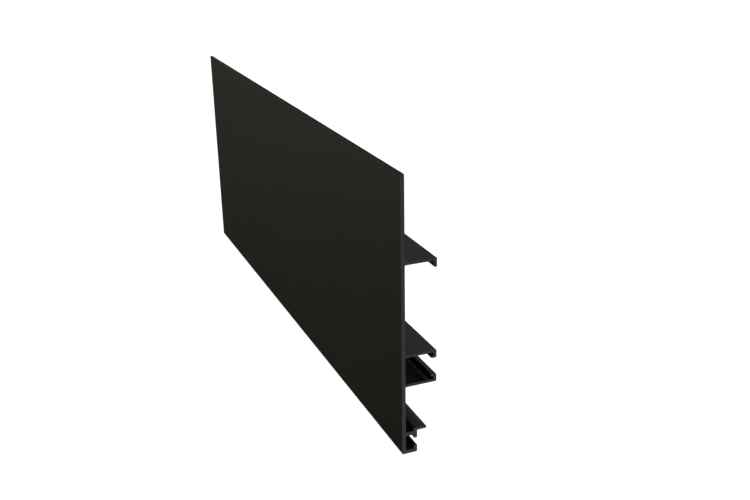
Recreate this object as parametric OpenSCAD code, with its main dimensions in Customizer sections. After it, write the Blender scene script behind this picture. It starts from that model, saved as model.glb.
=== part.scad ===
// A length of extruded aluminium kick plate.
//
// The whole object is one extrusion, so it is one piece: a thin face plate with its legs
// on the back. From the top down they are a hook leg, a C channel that takes spring clips,
// a short flange, and a small channel along the bottom edge that takes a push-in seal.
//
// Frame: +X runs along the length, the front face looks towards -Y and +Z is up.
// The origin is on the floor, at the middle of the length and of the overall depth.
// The section is drawn in its own plane, as [depth behind the front face, height].

/* [Face plate] */
// Overall height
plate_h = 100; // [85:1:160]
// Length that the extrusion is cut to
plate_length = 250; // [50:10:3000]
// Thickness of the face plate
plate_t = 1.4; // [1.2:0.1:2.4]
// Overall depth, from the front face to the backs of the lips
overall_depth = 12.8; // [11:0.1:20]

/* [Hook leg] */
// Height of the leg's top face
hook_top = 70.6; // [45:0.1:80]
// Thickness of the leg
hook_t = 1.1; // [1:0.1:2]
// How far its lip hangs below it
hook_drop = 2.3; // [1:0.1:5]
// Thickness of its lip
hook_lip_t = 1; // [1:0.1:2]

/* [Clip channel] */
// Height of the channel's underside
clip_bottom = 25.7; // [12:0.1:30]
// Clear height inside the channel
clip_gap = 9.9; // [8:0.1:12]
// Thickness of the channel's two legs
clip_leg_t = 1; // [1:0.1:2]
// Thickness of the channel's two lips
clip_lip_t = 1; // [1:0.1:2]
// How far the lower lip stands up from the channel's floor
clip_lip_low = 1.9; // [1.5:0.1:2.5]
// How far the upper lip hangs from the channel's roof
clip_lip_high = 2; // [1.5:0.1:2.5]
// How far the lips' barbs reach forward, into the channel
barb_reach = 1.1; // [0.5:0.1:2]
// Thickness of the barbs
barb_t = 0.9; // [0.6:0.1:1]

/* [Seal channel] */
// Clear height inside the channel
seal_gap = 5.5; // [4.5:0.1:6]
// Clear depth inside the channel
seal_depth = 2.9; // [2:0.1:4]
// Clear height of the mouth between its lips
seal_mouth = 2.7; // [2:0.1:3.5]
// Thickness of the channel's floor and roof
foot_t = 1.4; // [1:0.1:1.6]
// Thickness of its lips
seal_lip_t = 1.3; // [1:0.1:2]

/* [Rear flange] */
// Height of the flange's top face
flange_top = 9.5; // [9.1:0.1:11]
// Depth of the flange's tip behind the front face
flange_reach = 9.1; // [7.5:0.1:10.5]
// Thickness of the flange
flange_t = 1.1; // [0.9:0.1:1.5]

/* [Edges] */
// Radius of the free edges
tip_r = 0.4; // [0.2:0.05:0.45]
// Radius where a leg meets the back of the plate
root_r = 0.4; // [0.2:0.05:0.8]
// Radius of the corners inside the channels and hooks
inner_r = 0.2; // [0.1:0.05:0.3]

/* [Hidden] */

$fn = 48;
overlap = 0.1;      // how far a corner piece runs into its wall
nose_flat = 0.1;    // flat left in the middle of a nose that is otherwise round

embed = plate_t / 2;    // the legs start in the middle of the plate
hook_underside = hook_top - hook_t;
hook_lip_front = overall_depth - hook_lip_t;
clip_floor = clip_bottom + clip_leg_t;
clip_roof = clip_floor + clip_gap;
clip_top = clip_roof + clip_leg_t;
clip_lip_front = overall_depth - clip_lip_t;
barb_front = clip_lip_front - barb_reach;
seal_roof = foot_t + seal_gap;
seal_lip_front = plate_t + seal_depth;
seal_lip_back = seal_lip_front + seal_lip_t;
seal_lip_h = (seal_gap - seal_mouth) / 2;    // the same below the mouth and above it
flange_underside = flange_top - flange_t;

function nose_r(thickness) = (thickness - nose_flat) / 2;

// What lies between a square corner and its arc. At a turn of 0 the arc's centre is up and
// back from the corner, and each 90 degrees more swings it a quarter turn anticlockwise.
// It fills an inner corner when it is added, and rounds an outer one when it is cut away.
module corner(at, turn, r) {
    translate(at) rotate(turn) difference() {
        translate([-overlap, -overlap]) square(r + overlap);
        translate([r, r]) circle(r);
    }
}

// A straight wall between two opposite corners of its section. The radii are those of its
// low front, low back, high back and high front corners, and 0 leaves a corner square.
module wall(low_front, high_back, radii = [0, 0, 0, 0]) {
    corners = [
        low_front,
        [high_back.x, low_front.y],
        high_back,
        [low_front.x, high_back.y],
    ];
    difference() {
        translate(low_front) square(high_back - low_front);
        for (i = [0:3])
            if (radii[i] > 0) corner(corners[i], 90 * i, radii[i]);
    }
}

// The visible face. Its low back corner is buried in the seal channel's floor.
module face_plate() {
    wall([0, 0], [plate_t, plate_h], [tip_r, 0, tip_r, tip_r]);
}

// The upper leg, with a plain lip that hangs down along its back edge.
module hook_leg() {
    wall([embed, hook_underside], [overall_depth, hook_top], [0, 0, tip_r, 0]);
    wall([hook_lip_front, hook_underside - hook_drop],
         [overall_depth, hook_underside + hook_t / 2], [tip_r, tip_r, 0, 0]);

    corner([plate_t, hook_top], 0, root_r);
    corner([plate_t, hook_underside], 270, root_r);
    corner([hook_lip_front, hook_underside], 180, inner_r);
}

// One barb of the clip channel, whose flat underside is at the given height.
module barb(underside) {
    wall([barb_front, underside], [clip_lip_front + clip_lip_t / 2, underside + barb_t],
         [nose_r(barb_t), 0, 0, nose_r(barb_t)]);
}

// The C channel: two legs, and two lips that turn towards each other and end in barbs.
module clip_channel() {
    wall([embed, clip_bottom], [overall_depth, clip_floor], [0, tip_r, 0, 0]);
    wall([clip_lip_front, clip_floor - clip_leg_t / 2],
         [overall_depth, clip_floor + clip_lip_low], [0, 0, tip_r, 0]);
    barb(clip_floor + clip_lip_low - barb_t);

    wall([embed, clip_roof], [overall_depth, clip_top], [0, 0, tip_r, 0]);
    wall([clip_lip_front, clip_roof - clip_lip_high],
         [overall_depth, clip_roof + clip_leg_t / 2], [0, tip_r, 0, 0]);
    barb(clip_roof - clip_lip_high);

    corner([plate_t, clip_top], 0, root_r);
    corner([plate_t, clip_bottom], 270, root_r);
    corner([plate_t, clip_roof], 270, inner_r);
    corner([plate_t, clip_floor], 0, inner_r);
    corner([clip_lip_front, clip_roof], 180, inner_r);
    corner([clip_lip_front, clip_floor], 90, inner_r);
}

// The small channel along the bottom edge. The lip of its roof also runs up to the flange.
module seal_channel() {
    wall([embed, 0], [seal_lip_back, foot_t], [0, tip_r, 0, 0]);
    wall([seal_lip_front, foot_t / 2], [seal_lip_back, foot_t + seal_lip_h],
         [0, 0, tip_r, tip_r]);

    wall([embed, seal_roof], [seal_lip_front + overlap, seal_roof + foot_t]);
    wall([seal_lip_front, seal_roof - seal_lip_h], [seal_lip_back, flange_top],
         [tip_r, tip_r, 0, tip_r]);

    for (z = [foot_t, seal_roof + foot_t]) {
        corner([plate_t, z], 0, inner_r);
        corner([seal_lip_front, z], 90, inner_r);
    }
    corner([plate_t, seal_roof], 270, inner_r);
    corner([seal_lip_front, seal_roof], 180, inner_r);
}

// The flange that stands back from the top of the seal channel, with a round nose.
module rear_flange() {
    wall([seal_lip_back - seal_lip_t / 2, flange_underside], [flange_reach, flange_top],
         [0, nose_r(flange_t), nose_r(flange_t), 0]);
    corner([seal_lip_back, flange_underside], 270, inner_r);
}

module section() {
    face_plate();
    hook_leg();
    clip_channel();
    seal_channel();
    rear_flange();
}

module kick_plate_profile() {
    color([0.13, 0.14, 0.13])
        translate([0, -overall_depth / 2, 0])
            rotate([90, 0, 90])
                linear_extrude(height = plate_length, center = true) section();
}

kick_plate_profile();
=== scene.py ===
"""A cut length of black extruded kick plate, standing on a pale studio floor.

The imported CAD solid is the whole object, so nothing is added to it. This script breaks the
edges of its two cut ends, gives it a satin black powder coat and lights it. Lengths are in
metres and angles in degrees.
"""

import math

import bpy
from mathutils import Matrix, Vector


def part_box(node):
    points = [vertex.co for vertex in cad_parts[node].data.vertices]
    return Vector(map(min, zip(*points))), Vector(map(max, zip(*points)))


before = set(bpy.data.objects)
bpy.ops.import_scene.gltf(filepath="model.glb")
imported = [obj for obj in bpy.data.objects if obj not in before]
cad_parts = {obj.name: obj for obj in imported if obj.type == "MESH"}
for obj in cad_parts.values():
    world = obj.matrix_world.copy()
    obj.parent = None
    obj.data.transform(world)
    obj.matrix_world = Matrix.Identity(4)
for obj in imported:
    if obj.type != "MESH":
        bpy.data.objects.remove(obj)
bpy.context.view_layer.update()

MM = 0.001
PLATE = "kick_plate_profile"
LOW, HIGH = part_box(PLATE)
MIDDLE = (LOW + HIGH) / 2

# --- node helpers -----------------------------------------------------------------------


class Nodes:
    """Short names for adding nodes to one tree and linking them."""

    def __init__(self, tree):
        self.tree = tree
        tree.nodes.clear()

    def add(self, kind, inputs=None, **settings):
        """A node of this kind. An input is a value, or another node's output to link."""
        node = self.tree.nodes.new(kind)
        for name, value in settings.items():
            setattr(node, name, value)
        for name, value in (inputs or {}).items():
            if isinstance(value, bpy.types.NodeSocket):
                self.tree.links.new(value, node.inputs[name])
            else:
                node.inputs[name].default_value = value
        return node

    def math(self, operation, a, b=0.0):
        """One sum on one or two numbers."""
        return self.add("ShaderNodeMath", {0: a, 1: b}, operation=operation).outputs[0]

    def stretched(self, vector, by):
        """The vector with each of its parts multiplied by that part of by."""
        inputs = {0: vector, 1: by}
        return self.add("ShaderNodeVectorMath", inputs, operation="MULTIPLY").outputs[0]

    def noise(self, vector, scale, detail=2.0):
        """Noise from 0 to 1, with scale features in a metre."""
        inputs = {"Vector": vector, "Scale": scale, "Detail": detail}
        return self.add("ShaderNodeTexNoise", inputs).outputs["Fac"]

    def spread(self, value, low, high, start=0.0, end=1.0):
        """The value, carried from the range start to end onto the range low to high."""
        inputs = {0: value, 1: start, 2: end, 3: low, 4: high}
        return self.add("ShaderNodeMapRange", inputs).outputs[0]

    def mix(self, share, a, b):
        """The mix of two numbers: a at a share of 0, and b at 1."""
        inputs = {0: share, 2: a, 3: b}
        return self.add("ShaderNodeMix", inputs, data_type="FLOAT").outputs[0]

    def glow(self, colour, strength):
        """The world's own light, in this colour."""
        inputs = {"Color": (*colour, 1), "Strength": strength}
        return self.add("ShaderNodeBackground", inputs).outputs[0]

    def bump(self, height):
        """A bump of this height, in metres."""
        inputs = {"Height": height, "Distance": 1.0, "Strength": 1.0}
        return self.add("ShaderNodeBump", inputs).outputs[0]


# --- the coat ---------------------------------------------------------------------------

COAT_COLOUR = (0.0186, 0.0216, 0.0160)
COAT_ROUGHNESS = 0.46
COAT_GLOSS = 0.5
END_ROUGHNESS = 0.54  # the cut ends are a little duller

MOTTLE_SCALE = 22.0  # broad, faint changes of tone and gloss
SPECKLE_SCALE = 3200.0  # the powder's grain
TONE_SPREAD = 0.05  # how far each of those two shifts the tone, up or down
GLOSS_SPREAD = 0.03  # how far the mottle shifts the roughness, up or down

PEEL_SCALE = 900.0
PEEL_DEPTH = 0.020 * MM

DIE_LINE_SCALE = 1500.0
DIE_LINE_DEPTH = 0.003 * MM
DIE_LINE_STRETCH = 0.004  # the scale along the extrusion, as a share of that across it

BLADE_RADIUS = 0.15
TOOTH_PITCH = 0.45 * MM  # between two neighbouring saw marks
SAW_DEPTH = 0.010 * MM
SAW_WOBBLE_SCALE = 260.0

END_STARTS = 0.90  # how much of a face's normal lies along the length where the ends' finish starts
END_FULL = 0.98  # and where it is complete


def cut_end(n, normal):
    """1 on the two cut ends, which face along the length, and 0 elsewhere."""
    along = n.add("ShaderNodeSeparateXYZ", {0: normal}).outputs["X"]
    return n.spread(n.math("ABSOLUTE", along), 0.0, 1.0, END_STARTS, END_FULL)


def saw_marks(n, place):
    """The arcs that a circular blade leaves: rings around its arbor, slightly uneven."""
    arbor = (0.0, -BLADE_RADIUS, MIDDLE.z)
    across = n.stretched(place, (0.0, 1.0, 1.0))
    inputs = {0: across, 1: arbor}
    radius = n.add("ShaderNodeVectorMath", inputs, operation="DISTANCE").outputs["Value"]
    uneven = n.math("MULTIPLY", n.noise(across, SAW_WOBBLE_SCALE), TOOTH_PITCH)
    turns = n.math("DIVIDE", n.math("ADD", radius, uneven), TOOTH_PITCH)
    wave = n.math("SINE", n.math("MULTIPLY", turns, math.tau))
    return n.spread(wave, 0.0, 1.0, -1.0, 1.0)


def black_coat():
    """Satin black powder coat: a fine orange peel over faint die lines and saw marks."""
    material = bpy.data.materials.new("black_coat_satin")
    material.use_nodes = True
    n = Nodes(material.node_tree)
    where = n.add("ShaderNodeTexCoord")
    place = where.outputs["Object"]
    end = cut_end(n, where.outputs["Normal"])

    peel = n.noise(place, PEEL_SCALE, detail=1.5)
    speckle = n.noise(place, SPECKLE_SCALE, detail=1.0)
    mottle = n.noise(place, MOTTLE_SCALE, detail=3.0)
    drawn_out = n.stretched(place, (DIE_LINE_STRETCH, 1.0, 1.0))
    die_lines = n.noise(drawn_out, DIE_LINE_SCALE, detail=3.0)
    marks = saw_marks(n, place)

    broad = n.spread(mottle, 1 - TONE_SPREAD, 1 + TONE_SPREAD)
    fine = n.spread(speckle, -TONE_SPREAD, TONE_SPREAD)
    inputs = {0: COAT_COLOUR, "Scale": n.math("ADD", broad, fine)}
    colour = n.add("ShaderNodeVectorMath", inputs, operation="SCALE").outputs[0]
    uneven = n.spread(mottle, -GLOSS_SPREAD, GLOSS_SPREAD)
    roughness = n.mix(end, n.math("ADD", uneven, COAT_ROUGHNESS), END_ROUGHNESS)

    drawn = n.math("MULTIPLY", die_lines, DIE_LINE_DEPTH)
    sawn = n.math("MULTIPLY", marks, SAW_DEPTH)
    skin = n.math("MULTIPLY", peel, PEEL_DEPTH)
    paint = n.add(
        "ShaderNodeBsdfPrincipled",
        {
            "Base Color": colour,
            "Roughness": roughness,
            "Specular IOR Level": COAT_GLOSS,
            "Normal": n.bump(n.math("ADD", n.mix(end, drawn, sawn), skin)),
        },
    )
    n.add("ShaderNodeOutputMaterial", {"Surface": paint.outputs[0]})
    return material


# --- the plate --------------------------------------------------------------------------

SAME_POINT = 1e-6  # points closer than this are one
SAME_FACE = 1  # faces that meet at less than this angle are one
SHARP_EDGE = 60  # only the cut ends' edges and the two corners behind the barbs are sharper
EDGE_BREAK = 0.05 * MM  # how far those are broken or filled
EDGE_STEPS = 3
LARGE_FACES_LEAD = 100  # the strongest setting, which keeps the flat faces flat


def finish_plate(plate):
    """Joins the CAD mesh into whole faces, breaks its sharp edges and shades it smoothly, all
    with modifiers, so that the mesh itself stays as packed."""
    mesh = plate.data
    mesh.attributes.remove(mesh.attributes["custom_normal"])
    mesh.shade_smooth()

    weld = plate.modifiers.new("join faces", "WELD")
    weld.merge_threshold = SAME_POINT

    flat = plate.modifiers.new("whole faces", "DECIMATE")
    flat.decimate_type = "DISSOLVE"
    flat.angle_limit = math.radians(SAME_FACE)

    edges = plate.modifiers.new("broken edges", "BEVEL")
    edges.limit_method = "ANGLE"
    edges.angle_limit = math.radians(SHARP_EDGE)
    edges.width = EDGE_BREAK
    edges.segments = EDGE_STEPS
    edges.use_clamp_overlap = False

    normals = plate.modifiers.new("even shading", "WEIGHTED_NORMAL")
    normals.weight = LARGE_FACES_LEAD
    normals.keep_sharp = False

    plate.material_slots[0].material = black_coat()


# --- the floor --------------------------------------------------------------------------

ROOM = 8.0  # the floor's side
FLOOR_GAP = 0.05 * MM  # keeps the floor clear of the plate's underside
FLOOR_WHITE = 0.8
BACKDROP = 1.02  # what the camera sees behind and under the object, just past white


def floor_paint():
    """Pale and glowing, so that the camera sees it as white as the room behind it."""
    material = bpy.data.materials.new("pale_floor")
    material.use_nodes = True
    n = Nodes(material.node_tree)
    white = (FLOOR_WHITE, FLOOR_WHITE, FLOOR_WHITE, 1)
    paint = n.add("ShaderNodeBsdfDiffuse", {"Color": white}).outputs[0]
    glow = n.add("ShaderNodeEmission", {"Strength": BACKDROP}).outputs[0]
    both = n.add("ShaderNodeAddShader", {0: paint, 1: glow}).outputs[0]
    n.add("ShaderNodeOutputMaterial", {"Surface": both})
    return material


def add_floor():
    """A pale floor that the object stands on. Only the camera sees it: it throws no light back
    on the coat, and light from below passes through it."""
    half = ROOM / 2
    mesh = bpy.data.meshes.new("floor")
    corners = [(-half, -half, 0), (half, -half, 0), (half, half, 0), (-half, half, 0)]
    mesh.from_pydata(corners, [], [(0, 1, 2, 3)])
    mesh.materials.append(floor_paint())

    floor = bpy.data.objects.new("floor", mesh)
    floor.location.z = LOW.z - FLOOR_GAP
    floor.visible_diffuse = False
    floor.visible_glossy = False
    floor.visible_shadow = False
    bpy.context.scene.collection.objects.link(floor)


# --- light ------------------------------------------------------------------------------

WHITE = (1.0, 1.0, 1.0)
OLIVE = (0.90, 1.0, 0.83)
PALE = (0.95, 1.0, 0.93)

HORIZON = 1.05  # how bright the room's walls are at their brightest
HORIZON_AT = 0.06  # where that is, as the sine of its elevation
HORIZON_WIDTH = 0.045  # how fast it fades above and below, on the same scale

BOUNCE = 2.1  # how bright the glow from below, past the near end, is at its middle
BOUNCE_AZIMUTH = 112
BOUNCE_ELEVATION = -35
BOUNCE_TIGHTNESS = 12  # the higher, the faster it fades away from there


def direction(azimuth, elevation):
    """The unit vector towards a place in the room. Azimuth 0 is before the front face, and 90
    is at the near end."""
    turn = math.radians(azimuth)
    lift = math.radians(elevation)
    level = math.cos(lift)
    return Vector((math.sin(turn) * level, -math.cos(turn) * level, math.sin(lift)))


def horizon_glow(n, looking):
    """A band of light around the room, a bell curve in height."""
    height = n.add("ShaderNodeSeparateXYZ", {0: looking}).outputs["Z"]
    off = n.math("DIVIDE", n.math("SUBTRACT", height, HORIZON_AT), HORIZON_WIDTH)
    fade = n.math("EXPONENT", n.math("MULTIPLY", n.math("MULTIPLY", off, off), -0.5))
    return n.glow(OLIVE, n.math("MULTIPLY", fade, HORIZON))


def bounce_glow(n, looking):
    """A soft spot of light from below, past the near end."""
    inputs = {0: looking, 1: direction(BOUNCE_AZIMUTH, BOUNCE_ELEVATION)}
    near = n.add("ShaderNodeVectorMath", inputs, operation="DOT_PRODUCT").outputs["Value"]
    off = n.math("SUBTRACT", near, 1.0)
    fade = n.math("EXPONENT", n.math("MULTIPLY", off, BOUNCE_TIGHTNESS))
    return n.glow(PALE, n.math("MULTIPLY", fade, BOUNCE))


def add_world():
    """White where the camera sees it. The object sees a dark room with a bright horizon, and a
    soft glow from below, past its near end."""
    world = bpy.data.worlds.new("studio")
    bpy.context.scene.world = world
    world.use_nodes = True
    n = Nodes(world.node_tree)
    looking = n.add("ShaderNodeTexCoord").outputs["Generated"]
    glows = {0: horizon_glow(n, looking), 1: bounce_glow(n, looking)}
    room = n.add("ShaderNodeAddShader", glows).outputs[0]

    seen = n.add("ShaderNodeLightPath").outputs["Is Camera Ray"]
    inputs = {0: seen, 1: room, 2: n.glow(WHITE, BACKDROP)}
    either = n.add("ShaderNodeMixShader", inputs).outputs[0]
    n.add("ShaderNodeOutputWorld", {"Surface": either})


SOFTBOX_DISTANCE = 1.6
SOFTBOX_SIZE = 0.8


def add_softbox(name, azimuth, elevation, power, colour, size=SOFTBOX_SIZE):
    """A square softbox that faces the object."""
    towards = direction(azimuth, elevation)
    light = bpy.data.lights.new(name, "AREA")
    light.size = size
    light.energy = power
    light.color = colour
    lamp = bpy.data.objects.new(name, light)
    lamp.location = MIDDLE + towards * SOFTBOX_DISTANCE
    lamp.rotation_euler = towards.to_track_quat("Z", "Y").to_euler()
    bpy.context.scene.collection.objects.link(lamp)


def add_lights():
    """Three lights on the face, two on the tops of the legs and in the channels, and two that
    only the back, the undersides and the far end see."""
    add_softbox("front", azimuth=15, elevation=-15, power=5.5, colour=OLIVE)
    add_softbox("front_far", azimuth=320, elevation=-10, power=0.62, colour=OLIVE, size=0.6)
    add_softbox("table_edge", azimuth=305, elevation=-6, power=0.24, colour=OLIVE, size=0.4)
    add_softbox("far", azimuth=241, elevation=51, power=1.75, colour=PALE, size=0.4)
    add_softbox("back", azimuth=180, elevation=25, power=6.3, colour=PALE)
    add_softbox("back_fill", azimuth=180, elevation=-40, power=1.6, colour=PALE)
    add_softbox("far_fill", azimuth=255, elevation=-20, power=3.0, colour=PALE, size=0.4)


# --- the camera -------------------------------------------------------------------------

CAMERA_AT = Vector((0.38651, -0.12097, 0.18249))
CAMERA_TURN = 67.97  # to the left, from looking along +Y
CAMERA_DIP = 20.60  # below level
CAMERA_ROLL = -1.05
CAMERA_LENS = 46.34  # millimetres, on a sensor 36 wide
CAMERA_NEAREST = 0.01


def add_camera():
    """A camera beyond the near end and a little before the face, which looks down at both."""
    camera = bpy.data.cameras.new("camera")
    camera.lens = CAMERA_LENS
    camera.clip_start = CAMERA_NEAREST
    seen_from = bpy.data.objects.new("camera", camera)
    bpy.context.scene.collection.objects.link(seen_from)
    seen_from.matrix_world = (
        Matrix.Translation(CAMERA_AT)
        @ Matrix.Rotation(math.radians(CAMERA_TURN), 4, "Z")
        @ Matrix.Rotation(math.radians(90 - CAMERA_DIP), 4, "X")
        @ Matrix.Rotation(math.radians(CAMERA_ROLL), 4, "Z")
    )
    bpy.context.scene.camera = seen_from


# --- the scene --------------------------------------------------------------------------


finish_plate(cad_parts[PLATE])
add_camera()
add_floor()
add_world()
add_lights()
bpy.context.scene.view_settings.view_transform = "Standard"
